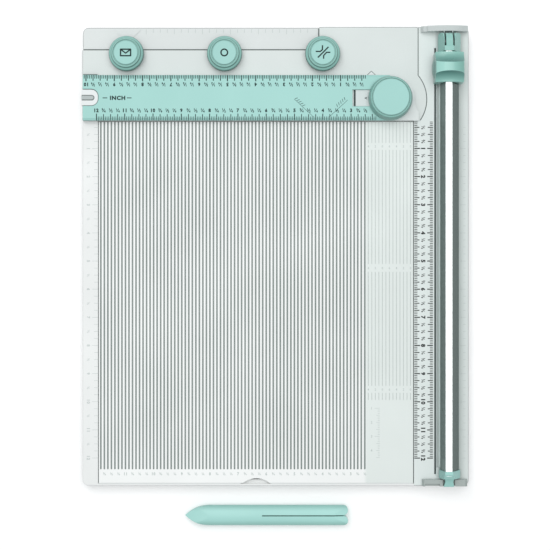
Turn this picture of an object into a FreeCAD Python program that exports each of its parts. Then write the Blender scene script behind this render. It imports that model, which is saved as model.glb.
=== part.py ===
"""Rotary paper trimmer with a swinging ruler arm, three punches and a scoring plate.

Millimetres. X points right, Y to the rear, Z up. The origin is on the surface that the
trimmer stands on, under the middle of the board. The cutter runs along Y on the right.
"""

import FreeCAD
import Part
import math
import os

V = FreeCAD.Vector

# ---- driving dimensions -------------------------------------------------------------

BOARD_W = 348.4
BOARD_L = 413.8
CORNER_R = 5.0
INCH = 25.4

# levels
FOOT_H = 2.5
COVER_T = 2.0
SHELL_Z = FOOT_H + COVER_T
FLOOR_Z = 6.5
SHELF_Z = 10.4
LEDGE_Z = 11.0
BED_LOW_Z = 12.0
THROAT_TOP_Z = 12.4
STRIP_Z = 13.2
DECK_Z = 14.0
HEAD_Z = 14.6

# plan lines
HALF_W = BOARD_W / 2
HALF_L = BOARD_L / 2
FENCE_Y = 122.8
CUT_X = 144.0
PLATE_X0 = -159.8
PLATE_X1 = 124.4
PLATE_Y0 = -204.6
PLATE_Y1 = 121.8
SEAM = 0.5
HEAD_GAP = 0.5
RIM = 0.5
HEAD_X1 = 128.2
SHELF_EDGE_Y = 185.8
SHELF_EDGE_X = 39.6
SHELF_X1 = 64.0
SHELF_Y0 = 148.0

# score grooves, measured leftwards from the cut line
GROOVE_W = 1.45
GROOVE_DEPTH = 1.0
GROOVE_PITCH = INCH / 8
GROOVE_FIRST = 2.5 * INCH
GROOVE_COUNT = 76
GROOVE_END_Y = -192.2
LINE_W = 0.6
LINE_DEPTH = 0.35
LINE_FIRST = 0.875 * INCH
LINE_COUNT = 13

# punches
BUTTON_X = (-133.9, -45.8, 42.3)
BUTTON_Y = 181.9
BUTTON_NAMES = ("envelope", "hole", "bow")
BUTTON_R = 15.7
BUTTON_TRAVEL = 3.6
BOSS_R = 12.5
BOSS_TOP_Z = 19.0
STEM_R = 4.0
DIE_R = 10.9

# swing arm
PIVOT_X = 103.0
PIVOT_Y = 141.8
ARM_X0 = -173.2
ARM_Y0 = 122.2
ARM_Y1 = 162.8
CARRIER_Z = 14.9
RULER_Z = 17.2
ARM_TOP_Z = 20.0
POST_R = 8.0
RUN_FIT = 0.05
SWEEP_R = 33.0
KNOB_R = 19.7
KNOB_Z = 20.3
KNOB_TOP_Z = 30.6

# rail and cutter
RAIL_X0 = 148.2
RAIL_X1 = 164.6
RAIL_Z0 = 16.0
RAIL_Z1 = 31.0
RAIL_Y0 = -196.0
RAIL_Y1 = 186.4
BAR_X0 = 145.3
BAR_Z0 = 14.3
HINGE_Y = 192.0
HINGE_Z = 23.6
HINGE_R = 2.0
LUG_X = (151.1, 158.6)
LUG_T = 1.0
PIN_X0 = 149.2
PIN_X1 = 161.6
BLADE_R = 10.0
BLADE_Z = 22.6
CARRIAGE_Y = 168.2
CARRIAGE_L = 26.8
CARRIAGE_TOP_Z = 41.0

# stylus, lying in front of the board
STYLUS_L = 147.8
STYLUS_W = 18.2
STYLUS_H = 9.8
STYLUS_X = -8.2
STYLUS_Y = -235.0


# ---- helpers ------------------------------------------------------------------------

def box(x0, x1, y0, y1, z0, z1):
    return Part.makeBox(x1 - x0, y1 - y0, z1 - z0, V(x0, y0, z0))


def disc(x, y, z0, z1, radius):
    return Part.makeCylinder(radius, z1 - z0, V(x, y, z0), V(0, 0, 1))


def rod_x(x0, x1, y, z, radius):
    return Part.makeCylinder(radius, x1 - x0, V(x0, y, z), V(1, 0, 0))


def polygon(points):
    return Part.Face(Part.makePolygon(points + [points[0]]))


def plan(points, z0, z1):
    """A prism on a closed outline seen from above."""
    return polygon([V(x, y, z0) for x, y in points]).extrude(V(0, 0, z1 - z0))


def side(points, x0, x1):
    """A prism along X on a closed outline in the YZ plane."""
    return polygon([V(x0, y, z) for y, z in points]).extrude(V(x1 - x0, 0, 0))


def turned(points, x, y):
    """A solid of revolution about the upright axis through x, y; points are (radius, z)."""
    face = polygon([V(r, 0, z) for r, z in points])
    solid = face.revolve(V(0, 0, 0), V(0, 0, 1), 360)
    solid.translate(V(x, y, 0))
    return solid


def upright_edges(shape, keep):
    """Vertical edges of a prism whose foot satisfies keep(x, y)."""
    found = []
    for edge in shape.Edges:
        a = edge.Vertexes[0].Point
        b = edge.Vertexes[-1].Point
        if abs(a.x - b.x) < 1e-6 and abs(a.y - b.y) < 1e-6 and abs(a.z - b.z) > 1e-3:
            if keep(a.x, a.y):
                found.append(edge)
    return found


def board_outline(inset, z0, z1, rim=0.0):
    """The board's rounded outline, inset all round, with a small chamfer round its top."""
    block = box(-HALF_W + inset, HALF_W - inset, -HALF_L + inset, HALF_L - inset, z0, z1)
    block = block.makeFillet(max(CORNER_R - inset, 1.5), upright_edges(block, lambda x, y: True))
    if rim:
        block = block.makeChamfer(rim, [e for e in block.Edges
                                        if min(v.Z for v in e.Vertexes) > z1 - 1e-6])
    return block


def fuse(first, *others):
    return first.multiFuse(list(others)).removeSplitter()


def cut(first, *tools):
    return first.cut(Part.makeCompound(list(tools)))


def save(name, shape):
    solids = shape.Solids
    shape = solids[0] if len(solids) == 1 else Part.makeCompound(solids)
    if not shape.isValid():
        print("not valid:", name)
    shape.exportStep("parts/%s.step" % name)


# ---- base ---------------------------------------------------------------------------

SCREW_SPOTS = [
    (-166.0, -190.0), (-166.0, -40.0), (-166.0, 110.0),
    (124.8, -190.0), (124.8, -40.0), (124.8, 110.0),
    (164.0, -180.0), (164.0, 0.0), (164.0, 180.0), (-167.0, 200.0),
]
SCREW_R = 1.4
SCREW_HEAD_R = 3.0
SCREW_HEAD_Z = 2.9
SCREW_TOP_Z = 8.2
FOOT_SPOTS = [(-150.0, -192.0), (160.0, -194.0), (-150.0, 190.0), (160.0, 194.0), (0.0, 0.0)]
FOOT_R = 8.0


def base_shell():
    body = board_outline(0.0, SHELL_Z, STRIP_Z, RIM)
    far = 300.0
    body = cut(
        body,
        box(PLATE_X0 - SEAM, PLATE_X1 + SEAM, PLATE_Y0 - SEAM, FENCE_Y, LEDGE_Z, far),
        box(-156.0, 121.0, -201.5, 119.5, FLOOR_Z, far),
        box(-far, HEAD_X1 + HEAD_GAP, FENCE_Y, far, SHELF_Z, far),
        box(-far, SHELF_X1, SHELF_Y0, far, SHELF_Z - 2.0, far),
        box(-170.0, 124.0, 127.0, 203.0, FLOOR_Z, far),
        box(PLATE_X1 + SEAM, far, -far, far, BED_LOW_Z, far),
        box(130.0, 171.0, -203.0, 203.0, FLOOR_Z, far),
    )
    spine = box(138.0, 150.0, -203.5, 203.5, FLOOR_Z, BED_LOW_Z - 1.6)
    posts = [disc(x, BUTTON_Y, FLOOR_Z, SHELF_Z - 2.0, 14.0) for x in BUTTON_X]
    posts += [disc(x, y, FLOOR_Z, BED_LOW_Z, 4.0) for x, y in SCREW_SPOTS[6:9]]
    posts.append(disc(SCREW_SPOTS[9][0], SCREW_SPOTS[9][1], FLOOR_Z, SHELF_Z - 2.0, 4.0))
    body = fuse(body, spine, *posts)
    holes = [disc(x, BUTTON_Y, FLOOR_Z, SHELF_Z, 9.2) for x in BUTTON_X]
    holes += [disc(x, y, SHELL_Z, SCREW_TOP_Z + 0.3, SCREW_R + 0.05) for x, y in SCREW_SPOTS]
    return cut(body, *holes)


def bottom_cover():
    plate = board_outline(3.0, FOOT_H, SHELL_Z)
    holes = []
    for x, y in SCREW_SPOTS:
        holes.append(disc(x, y, 0, SHELL_Z, SCREW_R + 0.1))
        holes.append(disc(x, y, 0, SCREW_HEAD_Z + 0.9, SCREW_HEAD_R + 0.1))
    holes += [disc(x, y, 0, FOOT_H + 0.6, FOOT_R + 0.1) for x, y in FOOT_SPOTS]
    return cut(plate, *holes)


def rubber_feet():
    feet = []
    for x, y in FOOT_SPOTS:
        foot = turned([(0, 0), (FOOT_R - 0.8, 0), (FOOT_R, 0.8), (FOOT_R, FOOT_H + 0.6),
                       (0, FOOT_H + 0.6)], x, y)
        feet.append(foot)
    return Part.makeCompound(feet)


def base_screws():
    screws = []
    for x, y in SCREW_SPOTS:
        head = disc(x, y, SCREW_HEAD_Z, SCREW_HEAD_Z + 0.9, SCREW_HEAD_R)
        slot = box(x - 2, x + 2, y - 0.4, y + 0.4, SCREW_HEAD_Z - 1, SCREW_HEAD_Z + 0.5)
        shank = disc(x, y, SCREW_HEAD_Z, SCREW_TOP_Z, SCREW_R)
        screws.append(fuse(head, shank).cut(slot))
    return Part.makeCompound(screws)


# ---- scoring plate ------------------------------------------------------------------

def groove(x, y0, y1, width, depth):
    """A straight channel with a round front end, cut down from the deck."""
    z0 = DECK_Z - depth
    body = box(x - width / 2, x + width / 2, y0 + width / 2, y1, z0, DECK_Z + 1)
    return body.fuse(disc(x, y0 + width / 2, z0, DECK_Z + 1, width / 2))


def score_plate():
    plate = box(PLATE_X0, PLATE_X1, PLATE_Y0, PLATE_Y1, LEDGE_Z, DECK_Z)
    plate = plate.makeChamfer(0.3, [e for e in plate.Edges
                                     if abs(e.Vertexes[0].Z - DECK_Z) < 1e-6
                                     and abs(e.Vertexes[1].Z - DECK_Z) < 1e-6])
    tools = []
    for i in range(GROOVE_COUNT):
        x = CUT_X - GROOVE_FIRST - i * GROOVE_PITCH
        tools.append(groove(x, GROOVE_END_Y, PLATE_Y1 + 1, GROOVE_W, GROOVE_DEPTH))
    bands = [(102.3, PLATE_Y1 + 1), (-6.9, 96.0), (-116.9, -14.0), (-129.6, -123.2)]
    for i in range(LINE_COUNT):
        x = CUT_X - LINE_FIRST - i * GROOVE_PITCH
        for y0, y1 in bands:
            tools.append(groove(x, y0, y1, LINE_W, LINE_DEPTH))
    moon_r = 19.0
    moon_rear = -200.2
    tools.append(disc(-17.3, moon_rear - moon_r, LEDGE_Z - 1, DECK_Z + 1, moon_r))
    return cut(plate, *tools)


# ---- punch head ---------------------------------------------------------------------

def head_region(grow, z0, z1):
    """The raised head seen from above, with the round field under the arm's pivot."""
    block = box(-HALF_W - 1, HEAD_X1 + grow, FENCE_Y, HALF_L + 1, z0, z1)
    field = disc(PIVOT_X, PIVOT_Y, z0, z1, SWEEP_R + grow)
    front = box(-300, 300, -300, FENCE_Y, z0, z1)
    return block.fuse(field).cut(front)


def head_cover():
    outline = board_outline(0.0, THROAT_TOP_Z, HEAD_Z, RIM)
    plate = head_region(0.0, THROAT_TOP_Z, HEAD_Z).common(outline)
    plate = plate.cut(box(-300, SHELF_EDGE_X, SHELF_EDGE_Y, 300, 0, 99))
    low = THROAT_TOP_Z
    ribs = [
        box(-170.0, HEAD_X1, FENCE_Y, FENCE_Y + 2.0, SHELF_Z, low),
        box(-HALF_W, -170.0, FENCE_Y, SHELF_Y0 - 0.2, SHELF_Z, low),
        box(-HALF_W, -HALF_W + 2.0, SHELF_Y0 - 0.2, SHELF_EDGE_Y, SHELF_Z, low),
        box(SHELF_X1 + 0.2, HEAD_X1, HALF_L - 2.0, HALF_L, SHELF_Z, low),
        box(SHELF_X1 + 0.2, SHELF_X1 + 2.2, SHELF_Y0 + 2.0, HALF_L - 2.0, SHELF_Z, low),
        box(-HALF_W + 2.0, SHELF_X1, SHELF_Y0 + 2.0, SHELF_Y0 + 4.0, SHELF_Z, low),
    ]
    bosses = [disc(x, BUTTON_Y, low, BOSS_TOP_Z, BOSS_R) for x in BUTTON_X]
    pointer = plan([(83.2, 163.6), (89.6, 163.6), (86.4, 166.6)], HEAD_Z - 0.2, HEAD_Z + 0.25)
    body = fuse(plate, pointer, *(ribs + bosses))
    holes = [disc(PIVOT_X, PIVOT_Y, 0, 99, 10.8)]
    for x in BUTTON_X:
        holes.append(disc(x, BUTTON_Y, 0, BOSS_TOP_Z - 3.4, 10.2))
        holes.append(disc(x, BUTTON_Y, BOSS_TOP_Z - 1.8, 99, 10.2))
        holes.append(disc(x, BUTTON_Y, 0, 99, STEM_R + RUN_FIT))
    return cut(body, *holes)


def rear_shelf():
    outline = board_outline(0.0, SHELF_Z - 2.0, SHELF_Z, RIM)
    plate = outline.common(box(-300, SHELF_X1, SHELF_Y0, 300, 0, 99))
    x = BUTTON_X[0]
    guides = []
    for s in (-1, 1):
        guides.append(plan([(x + s * 5.0, 197.8), (x + s * 12.0, 205.2), (x + s * 10.8, 205.2),
                            (x + s * 3.8, 197.8)], SHELF_Z - 0.2, SHELF_Z + 0.5))
    body = fuse(plate, *guides)
    return cut(body, *[disc(bx, BUTTON_Y, 0, 99, DIE_R + 0.1) for bx in BUTTON_X])


def punch_outline(kind, grow, z0, z1):
    """The three punch shapes, centred on the origin: a flap notch, a round hole, a bow slit."""
    if kind == "envelope":
        w = 7.0 + grow
        return plan([(-w, 5.0 + grow), (w, 5.0 + grow), (1.6 + grow, -4.6 - grow),
                     (-1.6 - grow, -4.6 - grow)], z0, z1)
    if kind == "hole":
        return disc(0, 0, z0, z1, 3.2 + grow)
    t = 0.9 + grow
    slit = box(-7.0 - grow, 7.0 + grow, -t, t, z0, z1)
    slit.rotate(V(0, 0, 0), V(0, 0, 1), 45)
    cross = box(-2.4 - grow, 2.4 + grow, -t, t, z0, z1)
    cross.rotate(V(0, 0, 0), V(0, 0, 1), -45)
    return fuse(slit, cross)


def punch_die(kind, x):
    body = disc(0, 0, SHELF_Z - 2.0, SHELF_Z, DIE_R)
    body = body.cut(punch_outline(kind, 0.12, 0, 99))
    body.translate(V(x, BUTTON_Y, 0))
    return body


def punch_tool(kind, x):
    tip = punch_outline(kind, 0.0, THROAT_TOP_Z + 0.2, BOSS_TOP_Z - 4.0)
    collar = disc(0, 0, BOSS_TOP_Z - 4.6, BOSS_TOP_Z - 3.7, 9.6)
    stem = disc(0, 0, BOSS_TOP_Z - 4.0, 24.8, STEM_R)
    body = fuse(stem, collar, tip)
    body.translate(V(x, BUTTON_Y, 0))
    return body


def button_cap(x):
    skirt_z = HEAD_Z + BUTTON_TRAVEL + 0.4
    points = [(0, 24.0), (13.1, 24.0), (13.1, skirt_z), (BUTTON_R, skirt_z),
              (BUTTON_R, 21.6), (15.4, 22.7), (14.9, 23.4), (13.6, 24.4), (13.2, 25.2),
              (12.9, 26.0), (12.4, 26.4), (11.9, 26.3), (11.6, 26.0), (11.6, 25.4), (0, 25.4)]
    return turned(points, x, BUTTON_Y).cut(disc(x, BUTTON_Y, 0, 24.8, STEM_R))


def button_disc(x):
    return turned([(0, 25.4), (10.7, 25.4), (10.7, 26.5), (10.2, 26.9), (8.8, 26.8), (0, 26.5)],
                  x, BUTTON_Y)


def return_spring(x):
    """A moulded rubber bellows round the punch stem, between the boss and the cap."""
    low = BOSS_TOP_Z - 1.8
    high = 24.0
    folds = 4
    wide = 8.2
    narrow = 6.6
    wall = 1.0
    rise = (high - low) / (2 * folds)
    outer = [(wide if i % 2 == 0 else narrow, low + i * rise) for i in range(2 * folds + 1)]
    inner = [(r - wall, z) for r, z in reversed(outer)]
    return turned(outer + inner, x, BUTTON_Y)


# ---- trimmer bed --------------------------------------------------------------------

def trimmer_bed():
    outline = board_outline(0.0, BED_LOW_Z, DECK_Z, RIM)
    plate = outline.common(box(PLATE_X1 + SEAM, 300, -300, 300, 0, 99))
    plate = plate.cut(head_region(HEAD_GAP, 0, 99))
    slot_w = 1.6
    slot = box(CUT_X - slot_w / 2, CUT_X + slot_w / 2, -196.6, 188.0, 0, 99)
    return cut(plate, slot)


def cutting_strip():
    return box(CUT_X - 5.0, CUT_X + 5.0, -200.0, 200.0, BED_LOW_Z - 1.5, BED_LOW_Z - 0.05)


def rear_bracket():
    y0 = 202.0
    y1 = 206.9
    x0 = 131.0
    x1 = 172.7
    shoulder = 20.4
    crown = Part.Arc(V(x1, y0, shoulder), V(155.5, y0, 23.2), V(136.6, y0, shoulder)).toShape()
    lines = [V(136.6, y0, shoulder), V(136.6, y0, 18.6), V(133.0, y0, 18.6), V(x0, y0, 16.6),
             V(x0, y0, DECK_Z), V(x1, y0, DECK_Z), V(x1, y0, shoulder)]
    wire = Part.Wire([crown] + Part.makePolygon(lines).Edges)
    body = Part.Face(wire).extrude(V(0, y1 - y0, 0))
    lugs = []
    for x in LUG_X:
        eye = rod_x(x - LUG_T / 2, x + LUG_T / 2, HINGE_Y, HINGE_Z, 4.2)
        arm = side([(HINGE_Y, HINGE_Z - 4.2), (y0 + 0.5, 16.4), (y0 + 0.5, 22.4),
                    (HINGE_Y, HINGE_Z + 4.2)], x - LUG_T / 2, x + LUG_T / 2)
        lugs += [eye, arm]
    body = fuse(body, *lugs)
    return body.cut(rod_x(146.0, 166.0, HINGE_Y, HINGE_Z, HINGE_R))


def front_bracket():
    y0 = -206.7
    y1 = -200.7
    body = box(132.0, 172.5, y0, y1, DECK_Z, 19.6)
    body = body.makeFillet(2.4, [e for e in body.Edges if abs(e.Length - 6.0) < 1e-6
                                 and e.Vertexes[0].Z > 19.0])
    notch = box(150.2, 161.2, y0 - 1, y1 + 1, 15.4, 99)
    scoop = box(134.5, 147.5, y0 - 1, y0 + 2.2, 16.0, 99)
    return cut(body, notch, scoop)


def hinge_pin():
    return rod_x(PIN_X0, PIN_X1, HINGE_Y, HINGE_Z, HINGE_R)


# ---- rail ---------------------------------------------------------------------------

def rail_section(grow, y, z0):
    """The rail's outline at y, grown outwards; its foot is at z0."""
    mid_z = 19.5
    xl = RAIL_X0 - grow
    xr = RAIL_X1 + grow
    top = RAIL_Z1 + grow
    tl = 151.5 - 0.55 * grow
    tr = 157.2 + 0.55 * grow
    a = V(tr, y, top)
    b = V(tl, y, top)
    crown = Part.Arc(a, V((tl + tr) / 2, y, top + 0.25), b).toShape()
    ring = [b, V(xl, y, mid_z), V(xl, y, z0), V(xr, y, z0), V(xr, y, mid_z), a]
    return Part.Face(Part.Wire([crown] + Part.makePolygon(ring).Edges))


def rail_prism(grow, y0, y1, z0):
    return rail_section(grow, y0, z0).extrude(V(0, y1 - y0, 0))


def guide_rail():
    outer = rail_prism(0.0, RAIL_Y0, RAIL_Y1, RAIL_Z0)
    return outer.cut(rail_prism(-1.6, RAIL_Y0 - 1, RAIL_Y1 + 1, RAIL_Z0 + 1.6))


def hold_down_bar():
    bar = box(BAR_X0, RAIL_X1, RAIL_Y0 + 6.0, RAIL_Y1 - 4.4, BAR_Z0, RAIL_Z0)
    step = box(BAR_X0 - 1, BAR_X0 + 1.8, -300, 300, BAR_Z0 + 1.0, 99)
    return bar.cut(step)


def rear_hinge_block():
    y0 = 182.8
    nose = 7.8
    prof = [(y0, 16.3), (HINGE_Y, HINGE_Z - nose), (HINGE_Y, HINGE_Z + nose),
            (y0 + 3.0, 33.4), (y0, 33.4)]
    body = side(prof, 146.0, 166.0)
    body = fuse(body, rod_x(146.0, 166.0, HINGE_Y, HINGE_Z, nose))
    wide = rail_section(2.0, y0 - 5, 10.0).extrude(V(0, 60, 0))
    body = body.common(wide)
    tools = [rail_prism(0.0, y0 - 1, RAIL_Y1, RAIL_Z0)]
    tools.append(rod_x(PIN_X0 - 0.2, PIN_X1 + 0.2, HINGE_Y, HINGE_Z, HINGE_R + 0.06))
    gap = LUG_T / 2 + 0.3
    tools += [box(x - gap, x + gap, 187.2, 300, 0, 99) for x in LUG_X]
    return cut(body, *tools)


def front_end_block():
    y0 = -199.0
    y1 = -191.9
    head = rail_section(1.2, y1, RAIL_Z0 + 0.1).extrude(V(0, y0 - y1, 0))
    slope = side([(y0 - 1, 99), (y0 - 1, 27.0), (y1 - 2.5, 32.6), (y1 - 2.5, 99)], 100, 200)
    stem = plan([(151.4, y0 + 1), (152.2, y0 - 3.5), (151.0, y0 - 8.0), (160.4, y0 - 8.0),
                 (159.2, y0 - 3.5), (160.0, y0 + 1)], 16.4, 24.5)
    ramp = side([(y0 - 9, 99), (y0 - 9, 19.5), (y0 + 2, 25.5), (y0 + 2, 99)], 100, 200)
    body = fuse(head.cut(slope), stem.cut(ramp))
    return body.cut(rail_prism(0.0, RAIL_Y0, y1 + 1, RAIL_Z0))


# ---- carriage -----------------------------------------------------------------------

def carriage_shell():
    """The grip: a domed block with a thumb scoop on each side of a raised ridge."""
    y0 = CARRIAGE_Y - CARRIAGE_L / 2
    y1 = CARRIAGE_Y + CARRIAGE_L / 2
    x0 = 142.2
    x1 = 167.6
    top = CARRIAGE_TOP_Z
    low = 17.0
    middle = (x0 + x1) / 2
    dome_r = 17.0
    shoulder = top - dome_r + math.sqrt(dome_r ** 2 - (x1 - middle) ** 2)
    ring = [V(x1, y0, shoulder), V(x1, y0, low), V(x0, y0, low), V(x0, y0, shoulder)]
    dome = Part.Arc(ring[3], V(middle, y0, top), ring[0]).toShape()
    wire = Part.Wire([dome] + Part.makePolygon(ring).Edges)
    body = Part.Face(wire).extrude(V(0, y1 - y0, 0))
    edge_r = 3.0
    body = body.makeFillet(edge_r, [e for e in body.Edges if e.Length > y1 - y0 - 0.1
                                    and all(abs(v.Z - shoulder) < 1e-6 for v in e.Vertexes)])
    ridge_half = 3.8
    ridge_y = CARRIAGE_Y - 0.6
    scoop_r = 12.4
    scoop_depth = 6.0
    sweep_r = 33.6
    reach = math.sqrt(scoop_r ** 2 - (scoop_r - scoop_depth) ** 2)
    scoops = []
    for s in (-1, 1):
        at = V(middle, ridge_y + s * (ridge_half + reach), top - scoop_depth + scoop_r - sweep_r)
        scoops.append(Part.makeTorus(sweep_r, scoop_r, at, V(0, 1, 0)))
    body = cut(body, *scoops)
    body = fuse(body, blade_guard())
    chamber = rod_x(CUT_X - 0.75, CUT_X + 0.95, CARRIAGE_Y, BLADE_Z, BLADE_R + 0.6)
    tunnel = rail_prism(1.1, y0 - 1, y1 + 1, 10.0)
    axle = rod_x(CUT_X - 2.4, CUT_X + 3.0, CARRIAGE_Y, BLADE_Z, 2.5)
    return cut(body, chamber, tunnel, axle)


def blade_guard():
    """The shallow dome over the blade, on the left cheek of the carriage."""
    foot_x = 142.4
    rise = 2.2
    reach = 10.3
    ball_r = (reach * reach + rise * rise) / (2 * rise)
    ball = Part.makeSphere(ball_r)
    ball.translate(V(foot_x - rise + ball_r, CARRIAGE_Y, BLADE_Z))
    cap = ball.common(box(foot_x - rise - 1, foot_x, 0, 300, 15.0, 99))
    cheek = rod_x(foot_x, CUT_X + 2.9, CARRIAGE_Y, BLADE_Z, reach)
    return fuse(cap, cheek.common(box(0, 300, 0, 300, 16.6, 99)))


def carriage_liner():
    y0 = CARRIAGE_Y - CARRIAGE_L / 2 + 1.0
    y1 = CARRIAGE_Y + CARRIAGE_L / 2 - 1.0
    outer = rail_prism(1.1, y0, y1, 17.0)
    return outer.cut(rail_prism(0.1, y0 - 1, y1 + 1, 10.0))


def blade_axle():
    return rod_x(CUT_X - 2.4, CUT_X + 3.0, CARRIAGE_Y, BLADE_Z, 2.5)


def rotary_blade():
    """A thin wheel with a double bevel, on its own hub hole."""
    half = 0.25
    bore = 2.5 + RUN_FIT
    ring = [(bore, half), (BLADE_R - 1.4, half), (BLADE_R, 0.0), (BLADE_R - 1.4, -half), (bore, -half)]
    face = polygon([V(CUT_X + t, CARRIAGE_Y + r, BLADE_Z) for r, t in ring])
    return face.revolve(V(CUT_X, CARRIAGE_Y, BLADE_Z), V(1, 0, 0), 360)


# ---- swing arm ----------------------------------------------------------------------

WINDOW_X0 = 69.0
WINDOW_Y0 = 134.6
WINDOW_Y1 = 149.8
POCKET_X0 = 70.6
SLIDER_X0 = 72.0


def carrier_outline(z0, z1):
    """The arm's plate: a long bar, a round end about the pivot and one square corner."""
    reach = 22.3
    start = math.radians(-5)
    finish = math.asin((ARM_Y1 - PIVOT_Y) / reach)
    half = (start + finish) / 2

    def on_ring(angle):
        return V(PIVOT_X + reach * math.cos(angle), PIVOT_Y + reach * math.sin(angle), z0)

    corner_x = 129.0
    shoulder = V(corner_x, ARM_Y0 + 7.7, z0)
    edges = [
        Part.makeLine(V(ARM_X0, ARM_Y0, z0), V(corner_x, ARM_Y0, z0)),
        Part.makeLine(V(corner_x, ARM_Y0, z0), shoulder),
        Part.Arc(shoulder, V(126.3, 134.7, z0), on_ring(start)).toShape(),
        Part.Arc(on_ring(start), on_ring(half), on_ring(finish)).toShape(),
    ]
    step_x = -160.5
    step_y = ARM_Y1 + 1.2
    rest = [on_ring(finish), V(step_x, ARM_Y1, z0), V(step_x, step_y, z0), V(ARM_X0, step_y, z0),
            V(ARM_X0, ARM_Y0, z0)]
    edges += Part.makePolygon(rest).Edges
    return Part.Face(Part.Wire(edges)).extrude(V(0, 0, z1 - z0))


def end_pad(grow, x0, z0, z1):
    """The finger pad at the arm's free end, round towards the pivot."""
    corner = 6.0 + grow
    block = box(x0, -159.6 + grow, 135.6 - grow, 149.8 + grow, z0, z1)
    return block.makeFillet(corner, upright_edges(block, lambda x, y: x > -165))


def finger_rib(half, z0, z1):
    """The grip rib on the pad: a bar with a round inner end, half wide each way."""
    bar = box(-174.4, -165.2, 142.5 - half, 142.5 + half, z0, z1)
    return bar.fuse(disc(-165.2, 142.5, z0, z1, half))


def slider_space(grow, z0, z1):
    """The room for the lock slider's foot, from the window to the pivot post."""
    foot = box(POCKET_X0, 90.0, 133.4 - grow, 151.0 + grow, z0, z1)
    tongue = box(89.0, PIVOT_X, PIVOT_Y - 4.2 - grow, PIVOT_Y + 4.2 + grow, z0, z1)
    return foot.fuse(tongue)


def arm_carrier():
    body = carrier_outline(CARRIER_Z, RULER_Z)
    pad = end_pad(0.0, -174.4, CARRIER_Z, ARM_TOP_Z - 0.8)
    moat = finger_rib(2.5, ARM_TOP_Z - 1.7, 99)
    body = fuse(body, pad.cut(moat), finger_rib(1.7, ARM_TOP_Z - 2.4, ARM_TOP_Z - 0.2))
    post = disc(PIVOT_X, PIVOT_Y, 0, 99, POST_R + RUN_FIT)
    pocket = slider_space(0.0, 15.8, 99)
    screws = [disc(x, y, 0, 99, 1.3) for x, y in ARM_SCREWS]
    heads = [disc(x, y, 0, CARRIER_Z + 1.0, 2.5) for x, y in ARM_SCREWS]
    return cut(body, post, pocket, *(screws + heads))


ARM_SCREWS = [(-150.0, 142.5), (-80.0, 142.5), (-10.0, 142.5), (55.0, 142.5)]


def arm_screws():
    out = []
    for x, y in ARM_SCREWS:
        out.append(fuse(disc(x, y, CARRIER_Z + 0.1, CARRIER_Z + 1.0, 2.4),
                        disc(x, y, CARRIER_Z + 0.1, ARM_TOP_Z - 1.2, 1.25)))
    return Part.makeCompound(out)


def arm_ruler():
    """The printed strip on the carrier, with bevelled long edges and a round pivot end."""
    bevel = 2.0
    drop = 0.9
    prof = [(ARM_Y0, RULER_Z), (ARM_Y1, RULER_Z), (ARM_Y1, ARM_TOP_Z - drop),
            (ARM_Y1 - bevel, ARM_TOP_Z), (ARM_Y0 + bevel, ARM_TOP_Z), (ARM_Y0, ARM_TOP_Z - drop)]
    bar = side(prof, ARM_X0, PIVOT_X)
    end = disc(PIVOT_X, PIVOT_Y, RULER_Z, ARM_TOP_Z - drop, PIVOT_Y - ARM_Y0)
    body = fuse(bar, end)
    tools = [
        disc(PIVOT_X, PIVOT_Y, 0, 99, POST_R + RUN_FIT),
        end_pad(0.6, -190.0, 0, 99),
        box(WINDOW_X0, 88.0, WINDOW_Y0, WINDOW_Y1, 0, 99),
        box(87.0, PIVOT_X, PIVOT_Y - 4.2, PIVOT_Y + 4.2, 0, 18.8),
    ]
    tools += [disc(x, y, 0, ARM_TOP_Z - 1.0, 1.3) for x, y in ARM_SCREWS]
    return cut(body, *tools)


def lock_slider():
    """The slide that stops the arm: a foot under the ruler, a pad in its window and a tongue."""
    foot = box(SLIDER_X0, 89.6, 133.8, 150.6, 16.0, 17.0)
    pad = box(SLIDER_X0, 87.6, WINDOW_Y0 + 0.3, WINDOW_Y1 - 0.3, 16.9, 18.9)
    tongue = box(86.0, PIVOT_X, PIVOT_Y - 3.9, PIVOT_Y + 3.9, 16.0, 18.6)
    body = fuse(foot, pad, tongue)
    arrow = plan([(83.0, PIVOT_Y + 1.6), (80.4, PIVOT_Y + 0.3), (83.0, PIVOT_Y - 1.0)], 18.6, 99)
    return cut(body, arrow, disc(PIVOT_X, PIVOT_Y, 0, 99, POST_R + 0.08))


# ---- pivot --------------------------------------------------------------------------

def pivot_post():
    points = [(2.6, FLOOR_Z), (12.5, FLOOR_Z), (12.5, 8.6), (10.5, 9.2), (10.5, CARRIER_Z - 0.05),
              (POST_R, CARRIER_Z - 0.05), (POST_R, ARM_TOP_Z + 0.05), (2.6, ARM_TOP_Z + 0.05)]
    return turned(points, PIVOT_X, PIVOT_Y)


def pivot_washer():
    z0 = ARM_TOP_Z + 0.05
    ring = disc(PIVOT_X, PIVOT_Y, z0, z0 + 0.8, 12.0)
    return ring.cut(disc(PIVOT_X, PIVOT_Y, 0, 99, 2.6))


def pivot_knob():
    points = [(2.5, 21.1), (6.0, 21.1), (6.0, 26.8), (17.6, 26.8), (17.9, KNOB_Z),
              (KNOB_R, KNOB_Z), (KNOB_R, 23.2), (19.5, 24.6), (18.5, 28.4), (18.0, 29.5),
              (17.5, 29.9), (17.1, 29.8), (16.9, 29.4), (16.9, 29.0), (4.8, 29.0), (4.8, 26.9),
              (2.5, 26.9)]
    return turned(points, PIVOT_X, PIVOT_Y)


def knob_disc():
    return turned([(0, 29.0), (16.3, 29.0), (16.3, 30.1), (15.8, KNOB_TOP_Z), (0, KNOB_TOP_Z)],
                  PIVOT_X, PIVOT_Y)


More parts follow.
